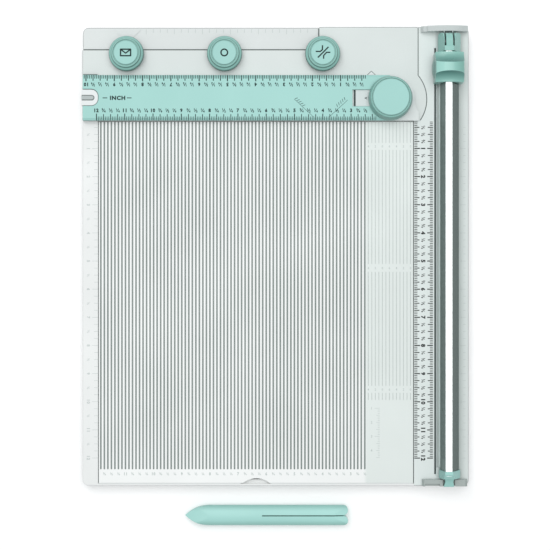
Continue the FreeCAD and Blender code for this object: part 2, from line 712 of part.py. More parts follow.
def knob_screw():
    head = disc(PIVOT_X, PIVOT_Y, 26.9, 28.8, 4.6)
    slot = box(PIVOT_X - 5, PIVOT_X + 5, PIVOT_Y - 0.5, PIVOT_Y + 0.5, 28.0, 99)
    return fuse(head.cut(slot), disc(PIVOT_X, PIVOT_Y, 8.0, 27.0, 2.45))


# ---- stylus -------------------------------------------------------------------------

def stylus_outline(z0, z1):
    """The stylus from above: an ogive at the left, two round lobes beside a slit at the right."""
    half_l = STYLUS_L / 2
    half_w = STYLUS_W / 2
    nose_x = -half_l + 24.0
    lobe_x = half_l - 5.0
    slit = 0.5
    slit_x = -4.0
    upper = Part.Arc(V(-half_l, 0.0, z0), V(-half_l + 9.5, 6.3, z0), V(nose_x, half_w, z0))
    lower = Part.Arc(V(-half_l, 0.0, z0), V(-half_l + 9.5, -6.3, z0), V(nose_x, -half_w, z0))
    edges = [upper.toShape(), lower.toShape()]
    for s in (-1, 1):
        bulge = V(half_l, s * (half_w + slit) / 2, z0)
        lobe = Part.Arc(V(lobe_x, s * half_w, z0), bulge, V(lobe_x, s * slit, z0)).toShape()
        edges.append(Part.makeLine(V(nose_x, s * half_w, z0), V(lobe_x, s * half_w, z0)))
        edges += [lobe, Part.makeLine(V(lobe_x, s * slit, z0), V(slit_x, s * slit, z0))]
    edges.append(Part.makeLine(V(slit_x, -slit, z0), V(slit_x, slit, z0)))
    wire = Part.Wire(Part.__sortEdges__(edges))
    return Part.Face(wire).extrude(V(0, 0, z1 - z0))


def stylus_flank(y0, y1):
    """The stylus from the side: it thins towards the tip and a little towards the lobes."""
    half_l = STYLUS_L / 2
    half_h = STYLUS_H / 2 + 0.3
    edges = []
    for s in (-1, 1):
        nose = Part.Arc(V(-half_l, y0, s * 0.6), V(-half_l + 11.0, y0, s * 3.5),
                        V(-half_l + 28.0, y0, s * half_h)).toShape()
        tail = Part.Arc(V(half_l - 22.0, y0, s * half_h), V(half_l - 9.0, y0, s * 4.5),
                        V(half_l, y0, s * 3.2)).toShape()
        middle = Part.makeLine(V(-half_l + 28.0, y0, s * half_h), V(half_l - 22.0, y0, s * half_h))
        edges += [nose, middle, tail]
    for x, z in ((-half_l, 0.6), (half_l, 3.2)):
        edges.append(Part.makeLine(V(x, y0, -z), V(x, y0, z)))
    wire = Part.Wire(Part.__sortEdges__(edges))
    return Part.Face(wire).extrude(V(0, y1 - y0, 0))


def scoring_stylus():
    """A flat oval handle: a blunt pointed tip at the left and a split, two-lobed right end."""
    half_l = STYLUS_L / 2
    centre = V(-half_l - 1, 0, 0)
    oval = Part.Ellipse(centre + V(0, STYLUS_W / 2 + 0.2, 0), centre + V(0, 0, STYLUS_H / 2), centre)
    barrel = Part.Face(Part.Wire(oval.toShape())).extrude(V(STYLUS_L + 2, 0, 0))
    sole = 0.3
    barrel = barrel.cut(box(-200, 200, -50, 50, -20, sole - STYLUS_H / 2))
    body = barrel.common(stylus_outline(-20, 20)).common(stylus_flank(-20, 20))
    body.translate(V(STYLUS_X, STYLUS_Y, STYLUS_H / 2 - sole))
    return body


# ---- write the nodes ----------------------------------------------------------------

def main():
    os.makedirs("parts", exist_ok=True)
    save("base_shell", base_shell())
    save("bottom_cover", bottom_cover())
    save("rubber_feet", rubber_feet())
    save("base_screws", base_screws())
    save("score_plate", score_plate())
    save("head_cover", head_cover())
    save("rear_shelf", rear_shelf())
    save("trimmer_bed", trimmer_bed())
    save("cutting_strip", cutting_strip())
    save("rear_bracket", rear_bracket())
    save("front_bracket", front_bracket())
    save("hinge_pin", hinge_pin())
    save("guide_rail", guide_rail())
    save("hold_down_bar", hold_down_bar())
    save("rear_hinge_block", rear_hinge_block())
    save("front_end_block", front_end_block())
    save("carriage_shell", carriage_shell())
    save("carriage_liner", carriage_liner())
    save("blade_axle", blade_axle())
    save("rotary_blade", rotary_blade())
    save("arm_carrier", arm_carrier())
    save("arm_ruler", arm_ruler())
    save("arm_screws", arm_screws())
    save("lock_slider", lock_slider())
    save("pivot_post", pivot_post())
    save("pivot_washer", pivot_washer())
    save("pivot_knob", pivot_knob())
    save("knob_disc", knob_disc())
    save("knob_screw", knob_screw())
    for kind, x in zip(BUTTON_NAMES, BUTTON_X):
        save("button_cap_" + kind, button_cap(x))
        save("button_disc_" + kind, button_disc(x))
        save("punch_" + kind, punch_tool(kind, x))
        save("punch_die_" + kind, punch_die(kind, x))
        save("return_spring_" + kind, return_spring(x))
    save("scoring_stylus", scoring_stylus())


main()
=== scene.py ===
"""Looks of the rotary paper trimmer: materials, printing, bellows, lights and camera."""

import math

import bmesh
import bpy
from mathutils import Matrix, Vector


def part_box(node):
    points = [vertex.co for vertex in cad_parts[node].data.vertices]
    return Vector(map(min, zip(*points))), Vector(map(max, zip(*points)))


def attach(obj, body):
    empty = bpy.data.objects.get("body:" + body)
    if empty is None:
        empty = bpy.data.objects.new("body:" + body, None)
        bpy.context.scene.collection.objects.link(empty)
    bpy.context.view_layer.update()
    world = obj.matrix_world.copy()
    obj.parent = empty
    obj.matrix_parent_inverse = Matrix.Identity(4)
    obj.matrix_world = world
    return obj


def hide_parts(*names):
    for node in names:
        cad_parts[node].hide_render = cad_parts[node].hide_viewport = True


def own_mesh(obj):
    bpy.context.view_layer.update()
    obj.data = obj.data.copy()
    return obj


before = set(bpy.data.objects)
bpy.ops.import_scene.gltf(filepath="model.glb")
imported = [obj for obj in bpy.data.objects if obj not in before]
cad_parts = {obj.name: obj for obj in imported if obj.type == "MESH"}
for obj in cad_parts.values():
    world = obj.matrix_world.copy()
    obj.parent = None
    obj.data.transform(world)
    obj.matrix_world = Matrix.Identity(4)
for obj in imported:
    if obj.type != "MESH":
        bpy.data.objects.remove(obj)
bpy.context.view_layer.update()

MM = 0.001
INCH = 25.4  # sizes of marks are in millimetres
LIGHT_GAIN = 1.12  # how much brighter than its own colour a pale surface shows in this light
WHITEST = 0.92

# where the looks change from one surface to the next, in metres
FINE_FIELD_X = (0.0795, 0.0825)
PLATE_TOP_Z = 0.01396
GROOVE_FLOOR_Z = 0.0131
PLATE_FRONT_Y = (-0.20435, -0.2042)
RAIL_CROWN_X = (0.15155, 0.15715)
RAIL_SHADE_X = (0.1560, 0.1585)
CARRIAGE_ACROSS_X = (0.1480, 0.1665)
CARRIAGE_CHEEK_X = (0.1420, 0.1426)
CARRIAGE_UPPER_Z = (0.0350, 0.0362)
BAR_LIP_X = (0.1470, 0.1472)
REAR_EDGE_Y = (0.2055, 0.2062)


# ---- colour and node helpers --------------------------------------------------------

def linear(value):
    c = value / 255.0
    return c / 12.92 if c <= 0.04045 else ((c + 0.055) / 1.055) ** 2.4


def tone(r, g, b):
    """The surface colour that shows as this screen colour under the scene's soft light."""
    return tuple(min(linear(c) / LIGHT_GAIN, WHITEST) for c in (r, g, b)) + (1.0,)


def scaled(colour, k):
    return tuple(min(c * k, 1.0) for c in colour[:3]) + (1.0,)


class Nodes:
    """A short way to write a material's node tree."""

    def __init__(self, name):
        self.material = bpy.data.materials.new(name)
        self.material.use_nodes = True
        self.tree = self.material.node_tree
        self.shader = self.tree.nodes["Principled BSDF"]
        coordinates = self.tree.nodes.new("ShaderNodeTexCoord")
        self.place = coordinates.outputs["Object"]
        self.facing = coordinates.outputs["Normal"]

    def link(self, out, socket):
        self.tree.links.new(out, socket)

    def noise(self, scale, detail=4.0, rough=0.5, stretch=(1, 1, 1)):
        stretched = self.tree.nodes.new("ShaderNodeMapping")
        stretched.inputs["Scale"].default_value = stretch
        self.link(self.place, stretched.inputs["Vector"])
        node = self.tree.nodes.new("ShaderNodeTexNoise")
        node.inputs["Scale"].default_value = scale
        node.inputs["Detail"].default_value = detail
        node.inputs["Roughness"].default_value = rough
        self.link(stretched.outputs["Vector"], node.inputs["Vector"])
        return node.outputs["Fac"]

    def ranged(self, out, low, high, to_low=0.0, to_high=1.0):
        node = self.tree.nodes.new("ShaderNodeMapRange")
        node.inputs["From Min"].default_value = low
        node.inputs["From Max"].default_value = high
        node.inputs["To Min"].default_value = to_low
        node.inputs["To Max"].default_value = to_high
        self.link(out, node.inputs["Value"])
        return node.outputs["Result"]

    def math(self, kind, a, b):
        node = self.tree.nodes.new("ShaderNodeMath")
        node.operation = kind
        for i, value in enumerate((a, b)):
            if isinstance(value, (int, float)):
                node.inputs[i].default_value = value
            else:
                self.link(value, node.inputs[i])
        return node.outputs[0]

    def mix(self, fac, a, b):
        node = self.tree.nodes.new("ShaderNodeMix")
        node.data_type = "RGBA"
        self.link(fac, node.inputs["Factor"])
        for value, name in ((a, "A"), (b, "B")):
            sockets = [s for s in node.inputs if s.name == name and s.type == "RGBA"]
            if isinstance(value, tuple):
                sockets[0].default_value = value
            else:
                self.link(value, sockets[0])
        return [s for s in node.outputs if s.type == "RGBA"][0]

    def axis(self, name):
        node = self.tree.nodes.new("ShaderNodeSeparateXYZ")
        self.link(self.place, node.inputs[0])
        return node.outputs[name]

    def normal(self, name):
        node = self.tree.nodes.new("ShaderNodeSeparateXYZ")
        self.link(self.facing, node.inputs[0])
        return node.outputs[name]

    def band(self, out, low, high, soft):
        """1 between low and high, 0 outside, with soft shoulders."""
        rise = self.ranged(out, low - soft, low)
        fall = self.ranged(out, high, high + soft, 1.0, 0.0)
        return self.math("MULTIPLY", rise, fall)

    def bump(self, height, strength, distance):
        node = self.tree.nodes.new("ShaderNodeBump")
        node.inputs["Strength"].default_value = strength
        node.inputs["Distance"].default_value = distance
        self.link(height, node.inputs["Height"])
        self.link(node.outputs["Normal"], self.shader.inputs["Normal"])

    def set(self, **values):
        for name, value in values.items():
            self.shader.inputs[name.replace("_", " ")].default_value = value


def moulded(name, colour, rough=0.42, grain=1500.0, relief=0.15, mottle=0.05, coat=0.0, rim=1.0,
            steep=1.0, fields=()):
    """Satin moulded plastic: fine spark-eroded grain, soft flow mottling and rubbed patches.

    rim darkens the small chamfers into a grey line, painted shade standing in for the shadow
    at each edge; the chamfer along the rear edge is painted darkest. steep darkens the walls of
    round parts as painted shade. Each field is an axis with two places along it and the colour
    that the plastic has beyond the second place.
    """
    n = Nodes(name)
    cloud = n.ranged(n.noise(14.0, 3.0), 0.35, 0.65)
    fleck = n.ranged(n.noise(900.0, 2.0), 0.3, 0.7)
    shade = n.mix(cloud, colour, scaled(colour, 1.0 - mottle))
    face = n.mix(n.math("MULTIPLY", fleck, 0.35), shade, scaled(colour, 1.0 - 1.6 * mottle))
    for name_of_axis, start, end, other in fields:
        far = n.mix(cloud, other, scaled(other, 1.0 - mottle))
        face = n.mix(n.ranged(n.axis(name_of_axis), start, end), face, far)
    # painted shade: rim darkens the chamfers, the rear edge's chamfer most
    if rim < 1.0:
        chamfer = n.band(n.normal("Z"), 0.45, 0.86, 0.1)
        face = n.mix(chamfer, face, scaled(colour, rim))
        behind = n.math("MULTIPLY", chamfer, n.ranged(n.axis("Y"), *REAR_EDGE_Y))
        face = n.mix(behind, face, scaled(colour, 0.3))
    # painted shade: steep darkens the sloping walls
    if steep < 1.0:
        face = n.mix(n.ranged(n.normal("Z"), 0.3, 0.8, 1.0, 0.0), face, scaled(colour, steep))
    n.link(face, n.shader.inputs["Base Color"])
    rubbed = n.math("ADD", n.ranged(n.noise(30.0, 5.0), 0.3, 0.7, rough - 0.06, rough + 0.06),
                    n.math("MULTIPLY", fleck, 0.04))
    n.link(rubbed, n.shader.inputs["Roughness"])
    n.set(Specular_IOR_Level=0.4, Coat_Weight=coat, Coat_Roughness=0.15)
    n.bump(n.noise(grain, 3.0), relief, 0.00005)
    return n.material


def metal(name, colour, rough, along=(1, 1, 60), relief=0.12):
    """Turned or drawn metal with fine lines along its length and faint stains."""
    n = Nodes(name)
    lines = n.noise(120.0, 4.0, 0.6, along)
    stain = n.ranged(n.noise(40.0, 4.0), 0.4, 0.7)
    n.link(n.mix(stain, colour, scaled(colour, 0.86)), n.shader.inputs["Base Color"])
    n.link(n.ranged(lines, 0.3, 0.7, rough - 0.05, rough + 0.08), n.shader.inputs["Roughness"])
    n.set(Metallic=1.0)
    n.bump(lines, relief, 0.00004)
    return n.material


def rubber(name, colour):
    n = Nodes(name)
    speck = n.ranged(n.noise(1400.0, 2.0), 0.35, 0.65)
    n.link(n.mix(speck, colour, scaled(colour, 0.6)), n.shader.inputs["Base Color"])
    n.link(n.ranged(n.noise(60.0), 0.3, 0.7, 0.7, 0.9), n.shader.inputs["Roughness"])
    n.bump(speck, 0.3, 0.0001)
    return n.material


def ink(name, colour):
    """Pad-printed ink: slightly uneven cover and a dull finish."""
    n = Nodes(name)
    patch = n.ranged(n.noise(700.0, 4.0), 0.3, 0.75)
    n.link(n.mix(patch, colour, scaled(colour, 1.5)), n.shader.inputs["Base Color"])
    n.link(n.ranged(patch, 0.0, 1.0, 0.5, 0.65), n.shader.inputs["Roughness"])
    n.set(Specular_IOR_Level=0.3)
    n.bump(n.noise(2000.0), 0.1, 0.00003)
    return n.material


def plate_material():
    """The scoring plate: pale ridges at the left, a cooler tint in the fine-line field.

    The groove floors are painted greyer and the chamfer round the plate is painted as a grey
    line, darkest at the front: painted shade.
    """
    n = Nodes("scoring_plate_plastic")
    pale = tone(243, 245, 244)
    cool = tone(226, 233, 230)
    field = n.ranged(n.axis("X"), *FINE_FIELD_X)
    cloud = n.ranged(n.noise(12.0, 3.0), 0.35, 0.65)
    top = n.mix(cloud, n.mix(field, pale, cool),
                n.mix(field, scaled(pale, 0.96), scaled(cool, 0.96)))
    # painted shade: the groove floors greyer the deeper they lie
    depth = n.ranged(n.axis("Z"), GROOVE_FLOOR_Z, PLATE_TOP_Z, 1.0, 0.0)
    groove_floor_shade = n.mix(cloud, tone(146, 156, 153), tone(138, 150, 146))
    level = n.mix(depth, top, groove_floor_shade)
    # painted shade: the chamfer as a grey line, darkest along the front
    slope = n.band(n.normal("Z"), 0.45, 0.86, 0.1)
    front = n.ranged(n.axis("Y"), *PLATE_FRONT_Y)
    line = n.mix(front, tone(236, 239, 238), tone(76, 86, 84))
    n.link(n.mix(slope, level, line), n.shader.inputs["Base Color"])
    n.link(n.ranged(n.noise(25.0, 5.0), 0.3, 0.7, 0.36, 0.5), n.shader.inputs["Roughness"])
    n.set(Specular_IOR_Level=0.4)
    n.bump(n.noise(1500.0, 3.0), 0.12, 0.00005)
    return n.material


def rail_material():
    """Anodised extrusion: a crown painted pale as a painted reflection, flanks painted grey as
    painted shade.
    """
    n = Nodes("rail_aluminium")
    lines = n.noise(150.0, 4.0, 0.6, (40, 1, 40))
    x = n.axis("X")
    crown = n.math("MULTIPLY", n.band(x, *RAIL_CROWN_X, 0.00005),
                   n.ranged(n.normal("Z"), 0.5, 0.9))
    # painted shade: the right flank is darker than the left
    right = n.ranged(x, *RAIL_SHADE_X)
    grain = n.ranged(lines, 0.3, 0.7)
    left_flank = n.mix(grain, tone(128, 142, 139), tone(118, 132, 129))
    right_flank_shade = n.mix(grain, tone(86, 100, 97), tone(78, 92, 89))
    flank = n.mix(right, left_flank, right_flank_shade)
    bright = n.mix(grain, (0.90, 0.92, 0.92, 1.0), (0.84, 0.87, 0.87, 1.0))
    n.link(n.mix(crown, flank, bright), n.shader.inputs["Base Color"])
    n.link(n.ranged(lines, 0.3, 0.7, 0.24, 0.34), n.shader.inputs["Roughness"])
    n.link(n.ranged(crown, 0.0, 1.0, 0.75, 1.0), n.shader.inputs["Metallic"])
    n.bump(lines, 0.05, 0.00003)
    return n.material


def carriage_material():
    """Glossy grip plastic with painted light and shade: a lighter ridge, dark thumb-scoop creases.
    """
    n = Nodes("carriage_plastic")
    cloud = n.ranged(n.noise(14.0, 3.0), 0.35, 0.65)
    body = tone(146, 197, 187)
    across = n.ranged(n.axis("X"), *CARRIAGE_ACROSS_X)
    # painted light and shade: the ridge's top lighter than the body, darker towards the right
    ridge = n.mix(across, tone(164, 215, 206), tone(128, 180, 169))
    # painted shade in the creases of the thumb scoops, and on the left side below
    crease_shade = tone(74, 128, 121)
    cheek = tone(112, 150, 144)
    along = n.math("ABSOLUTE", n.normal("Y"), 0.0)
    level = n.ranged(along, 0.02, 0.1, 1.0, 0.0)
    upper = n.ranged(n.axis("Z"), *CARRIAGE_UPPER_Z)
    crease = n.math("MULTIPLY", n.ranged(along, 0.1, 0.8), n.ranged(along, 0.9, 0.96, 1.0, 0.0))
    face = n.mix(cloud, body, scaled(body, 0.95))
    face = n.mix(n.math("MULTIPLY", level, upper), face, ridge)
    face = n.mix(crease, face, n.mix(cloud, crease_shade, scaled(crease_shade, 0.9)))
    face = n.mix(n.ranged(n.axis("X"), *CARRIAGE_CHEEK_X, 1.0, 0.0), face, cheek)
    n.link(face, n.shader.inputs["Base Color"])
    n.link(n.ranged(n.noise(30.0, 5.0), 0.3, 0.7, 0.24, 0.36), n.shader.inputs["Roughness"])
    n.set(Specular_IOR_Level=0.4, Coat_Weight=0.15, Coat_Roughness=0.15)
    n.bump(n.noise(1500.0, 3.0), 0.1, 0.00005)
    return n.material


def strip_material():
    """The clear hold-down strip: polished, darker at its thin lip."""
    n = Nodes("frosted_strip")
    streak = n.ranged(n.noise(60.0, 4.0, 0.6, (12, 1, 12)), 0.3, 0.7)
    lip = n.ranged(n.axis("X"), *BAR_LIP_X)
    low = n.mix(streak, tone(140, 155, 152), tone(128, 144, 141))
    high = n.mix(streak, tone(192, 208, 205), tone(176, 194, 190))
    n.link(n.mix(lip, low, high), n.shader.inputs["Base Color"])
    n.link(n.ranged(n.noise(80.0), 0.3, 0.7, 0.12, 0.22), n.shader.inputs["Roughness"])
    n.set(Coat_Weight=0.4, Coat_Roughness=0.05)
    n.bump(n.noise(900.0, 2.0), 0.08, 0.00004)
    return n.material


MINT = tone(163, 213, 206)
# rim and steep below paint shade on chamfers and on sloping walls
paint = {
    "strip": moulded("strip_plastic", tone(238, 240, 239), rim=0.88),
    # the bed is painted darker from the cutting slot to past the rail, darkest just right of the
    # rail: painted shade of the rail
    "bed": moulded("bed_plastic", tone(226, 234, 232), rim=0.5,
                   fields=(("X", 0.1440, 0.1446, tone(208, 219, 217)),
                           ("X", 0.1640, 0.1660, tone(200, 209, 206)),
                           ("X", 0.1680, 0.1715, tone(218, 225, 223)))),
    "head": moulded("head_plastic", tone(219, 226, 224), rim=0.5),
    "shelf": moulded("shelf_plastic", tone(221, 226, 225), rim=0.55),
    "white": moulded("white_plastic", tone(224, 229, 229), rough=0.35, rim=0.6),
    # the carrier is painted dark low down round the finger pad and grey just below the pad's top:
    # painted shade in the moat round the pad's rib; the pad is white and the rib grey
    "carrier": moulded("carrier_plastic", tone(108, 126, 123), rough=0.35,
                       fields=(("Z", 0.0178, 0.0180, tone(134, 144, 142)),
                               ("Z", 0.0186, 0.0188, tone(232, 236, 236)),
                               ("Z", 0.0193, 0.0194, tone(178, 187, 186)),
                               ("X", -0.1592, -0.1588, tone(222, 228, 227)))),
    "slider": moulded("slider_plastic", tone(211, 220, 219), rough=0.35),
    "mint": moulded("mint_plastic", MINT, rough=0.38, mottle=0.04, steep=0.75),
    # the stylus is painted darker along both long edges and lighter along its middle: painted shade
    # and painted light on its rounded body
    "mint_stylus": moulded("stylus_plastic", tone(148, 198, 189), rough=0.38, mottle=0.04,
                           fields=(("Y", -0.2442, -0.2390, tone(171, 221, 214)),
                                   ("Y", -0.2310, -0.2262, tone(150, 198, 190)))),
    "mint_ruler": moulded("ruler_plastic", MINT, rough=0.38, mottle=0.04, rim=0.92),
    "mint_deep": moulded("mint_deep_plastic", tone(146, 196, 187), rough=0.36, mottle=0.05,
                         steep=0.36),
    "mint_knob": moulded("knob_plastic", tone(146, 196, 187), rough=0.36, mottle=0.05, steep=0.74),
    "mint_block": moulded("mint_block_plastic", tone(151, 201, 192), rough=0.36, mottle=0.05,
                          steep=0.86),
    "mint_carriage": carriage_material(),
    "mint_disc": moulded("mint_disc_plastic", tone(157, 207, 200), rough=0.32, mottle=0.03,
                         steep=0.45),
    # the rear bracket is painted dark towards the front, on its lugs: painted shade standing in for
    # the dark slots
    "smoke": moulded("smoke_plastic", tone(112, 134, 130), rough=0.25, mottle=0.06, coat=0.3,
                     fields=(("Y", 0.2006, 0.2016, tone(191, 199, 198)),)),
    "smoke_dark": moulded("smoke_dark_plastic", tone(158, 168, 165), rough=0.25, mottle=0.06,
                          coat=0.3),
    "clear": strip_material(),
    "dark": moulded("dark_plastic", tone(60, 75, 74), rough=0.6, mottle=0.15),
    # dark grey for the slider's arrow and the pointer's edge, and for strips laid as painted shade
    # along the shelf step and in the head seam
    "gap": moulded("dark_mark_and_shade_plastic", tone(104, 114, 112), rough=0.7, mottle=0.12),
    "rail": rail_material(),
    "plate": plate_material(),
    "steel": metal("zinc_plated_steel", (0.55, 0.56, 0.57, 1.0), 0.3),
    "blade": metal("ground_blade_steel", (0.62, 0.64, 0.65, 1.0), 0.18, (60, 60, 60), 0.05),
    "rubber": rubber("foot_rubber", (0.03, 0.035, 0.035, 1.0)),
    "ink_teal": ink("teal_printing_ink", tone(2, 34, 32)),
    "ink_black": ink("black_printing_ink", tone(12, 18, 17)),
    # the embossed marks' darker tone is painted shade of their relief
    "emboss": moulded("embossed_mark_plastic", tone(205, 212, 210), mottle=0.08),
    "emboss_cool": moulded("embossed_cool_plastic", tone(192, 202, 199), mottle=0.08),
}

KINDS = ("envelope", "hole", "bow")
worn = {
    "base_shell": "strip", "bottom_cover": "strip", "rubber_feet": "rubber", "base_screws": "steel",
    "score_plate": "plate", "head_cover": "head", "rear_shelf": "shelf", "trimmer_bed": "bed",
    "cutting_strip": "dark", "rear_bracket": "smoke", "front_bracket": "smoke_dark",
    "hinge_pin": "steel", "guide_rail": "rail", "hold_down_bar": "clear",
    "rear_hinge_block": "mint_block", "front_end_block": "mint", "carriage_shell": "mint_carriage",
    "carriage_liner": "white", "blade_axle": "steel", "rotary_blade": "blade",
    "arm_carrier": "carrier", "arm_ruler": "mint_ruler", "arm_screws": "steel",
    "lock_slider": "slider",
    "pivot_post": "white", "pivot_washer": "steel", "pivot_knob": "mint_knob",
    "knob_disc": "mint_disc", "knob_screw": "steel", "scoring_stylus": "mint_stylus",
}
for kind in KINDS:
    worn["button_cap_" + kind] = "mint_deep"
    worn["button_disc_" + kind] = "mint_disc"
    worn["punch_" + kind] = "steel"
    worn["punch_die_" + kind] = "steel"
    worn["return_spring_" + kind] = "rubber"
for node, key in worn.items():
    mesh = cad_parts[node].data
    mesh.materials.clear()
    mesh.materials.append(paint[key])


# ---- printed and embossed marks -----------------------------------------------------

GLYPHS = {}
SUNK = 0.04  # how far a mark reaches into the surface that carries it
INK = 0.05  # how far a printed or embossed mark stands proud
SCALE_BOLD = 0.055
PART = 16  # the scales' steps in an inch
FULL_SCALE = 12 * PART


def glyph(text, bold):
    """A line of the plain built-in letters as a closed solid, 1 high, 1 thick and centred."""
    key = (text, bold)
    if key not in GLYPHS:
        curve = bpy.data.curves.new("glyph", "FONT")
        curve.body = text
        curve.size = 1.0
        curve.offset = bold
        curve.extrude = 0.5
        curve.resolution_u = 3
        curve.space_character = 1.18
        holder = bpy.data.objects.new("glyph", curve)
        bpy.context.scene.collection.objects.link(holder)
        bpy.context.view_layer.update()
        mesh = bpy.data.meshes.new_from_object(holder)
        bpy.data.objects.remove(holder)
        bpy.data.curves.remove(curve)
        xs = [v.co.x for v in mesh.vertices]
        ys = [v.co.y for v in mesh.vertices]
        high = max(ys) - min(ys)
        centre = Vector(((max(xs) + min(xs)) / 2, (max(ys) + min(ys)) / 2, -0.5))
        mesh.transform(Matrix.Diagonal((1 / high, 1 / high, 1, 1)) @ Matrix.Translation(-centre))
        joined = bmesh.new()
        joined.from_mesh(mesh)
        bmesh.ops.remove_doubles(joined, verts=joined.verts, dist=1e-4)
        joined.to_mesh(mesh)
        joined.free()
        GLYPHS[key] = mesh
    return GLYPHS[key]


class Marks:
    """Thin raised marks, gathered into one piece. Sizes are in millimetres."""

    def __init__(self, thickness):
        self.bm = bmesh.new()
        self.thick = thickness

    def prism(self, outline, z):
        """A closed thin prism; outline gives x, y and, if the surface slopes, its own z.

        z may also be a function of x and y.
        """
        points = []
        for p in outline:
            own = z(p[0], p[1]) if callable(z) else z
            points.append((p[0], p[1], p[2] if len(p) > 2 else own))
        low = [self.bm.verts.new((x * MM, y * MM, (h - SUNK) * MM)) for x, y, h in points]
        high = [self.bm.verts.new((x * MM, y * MM, (h + self.thick) * MM)) for x, y, h in points]
        self.bm.faces.new(high)
        self.bm.faces.new(low[::-1])
        for i in range(len(points)):
            j = (i + 1) % len(points)
            self.bm.faces.new([low[i], low[j], high[j], high[i]])

    def bar(self, x, y, z, length, width, degrees=0.0):
        c = math.cos(math.radians(degrees))
        s = math.sin(math.radians(degrees))
        corners = []
        for u, v in ((-1, -1), (1, -1), (1, 1), (-1, 1)):
            a = u * length / 2
            b = v * width / 2
            corners.append((x + a * c - b * s, y + a * s + b * c))
        self.prism(corners, z)

    def text(self, text, x, y, z, high, degrees=0.0, narrow=1.0, bold=0.05):
        mesh = glyph(text, bold).copy()
        turn = Matrix.Rotation(math.radians(degrees), 4, "Z")
        size = Matrix.Diagonal((high * narrow * MM, high * MM, (self.thick + SUNK) * MM, 1.0))
        mesh.transform(Matrix.Translation((x * MM, y * MM, (z - SUNK) * MM)) @ turn @ size)
        self.bm.from_mesh(mesh)
        bpy.data.meshes.remove(mesh)

    def fraction(self, part, x, y, z, high, degrees=0.0):
        """A small quarter, half or three quarters, set like the scale's own digits."""
        top, low = part
        c = math.cos(math.radians(degrees))
        s = math.sin(math.radians(degrees))
        small = high * 0.56
        for text, u, v, size in ((top, -0.30, 0.26, small), (low, 0.32, -0.26, small)):
            a = u * high
            b = v * high
            self.text(text, x + a * c - b * s, y + a * s + b * c, z, size, degrees, 1.0,
                      SCALE_BOLD)
        self.bar(x, y, z, high * 0.98, high * 0.16, degrees + 58)

    def piece(self, name, body, material):
        mesh = bpy.data.meshes.new(name)
        self.bm.to_mesh(mesh)
        self.bm.free()
        mesh.materials.append(material)
        made = bpy.data.objects.new(name, mesh)
        bpy.context.scene.collection.objects.link(made)
        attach(made, body)
        return made


QUARTERS = {4: ("1", "4"), 8: ("1", "2"), 12: ("3", "4")}

# the ruler's two scales, following its bevelled edges
arm_lo, arm_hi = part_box("arm_ruler")
ARM_Y0 = arm_lo.y / MM
ARM_Y1 = arm_hi.y / MM
ARM_X0 = arm_lo.x / MM
ARM_TOP = arm_hi.z / MM
BEVEL = 2.0
EDGE_DROP = 0.9


def edge_tick(marks, x, edge_y, inward, length, width):
    """One tick from the ruler's edge, bent over the bevel."""
    bend = edge_y + inward * BEVEL
    end = edge_y + inward * length
    z0 = ARM_TOP - EDGE_DROP
    w = width / 2
    a = x - w * inward
    b = x + w * inward
    marks.prism([(a, edge_y, z0), (a, bend, ARM_TOP), (b, bend, ARM_TOP), (b, edge_y, z0)][::-1], 0)
    marks.prism([(a, bend), (a, end), (b, end), (b, bend)][::-1], ARM_TOP)


def tick_length(i, long, middle, short):
    if i % PART == 0:
        return long
    if i % 4 == 0:
        return middle
    return short


def tick_width(i):
    if i % PART == 0:
        return 0.95
    return 0.8 if i % 4 == 0 else 0.6


RULER_DIGIT = 3.4
RULER_FRACTION = 3.5

rear = Marks(INK)
REAR_ZERO_X = 83.8
REAR_DIGIT_Y = 154.3
for i in range(2, 162):
    x = REAR_ZERO_X - i * INCH / PART
    if x < ARM_X0 + 0.4:
        continue
    edge_tick(rear, x, ARM_Y1, -1, tick_length(i, 5.6, 5.2, 3.3), tick_width(i))
    if i % PART == 0:
        rear.text(str(i // PART), x, REAR_DIGIT_Y, ARM_TOP, RULER_DIGIT, 180, 0.95, SCALE_BOLD)
    elif i % 4 == 0:
        rear.fraction(QUARTERS[i % PART], x, REAR_DIGIT_Y, ARM_TOP, RULER_FRACTION, 180)
rear.piece("ruler_rear_scale", "arm", paint["ink_teal"])

front = Marks(INK)
FRONT_ZERO_X = 144.0
FRONT_DIGIT_Y = 131.0
FIRST_FRONT_NUMBER = 40
for i in range(34, FULL_SCALE + 1):
    x = FRONT_ZERO_X - i * INCH / PART
    edge_tick(front, x, ARM_Y0, 1, tick_length(i, 5.9, 5.4, 3.3), 0.85 * tick_width(i))
    if i < FIRST_FRONT_NUMBER:
        continue
    if i % PART == 0:
        front.text(str(i // PART), x, FRONT_DIGIT_Y, ARM_TOP, RULER_DIGIT, 0, 0.95, SCALE_BOLD)
    elif i % 4 == 0:
        front.fraction(QUARTERS[i % PART], x, FRONT_DIGIT_Y, ARM_TOP, RULER_FRACTION, 0)
front.piece("ruler_front_scale", "arm", paint["ink_teal"])

RULER_MIDDLE_Y = 142.2
label = Marks(INK)
label.text("INCH", -141.8, RULER_MIDDLE_Y, ARM_TOP, 3.9, 0, 1.05, 0.05)
for x in (-153.2, -131.4):
    label.bar(x, RULER_MIDDLE_Y, ARM_TOP, 4.2, 0.7)
label.piece("ruler_unit_label", "arm", paint["ink_teal"])

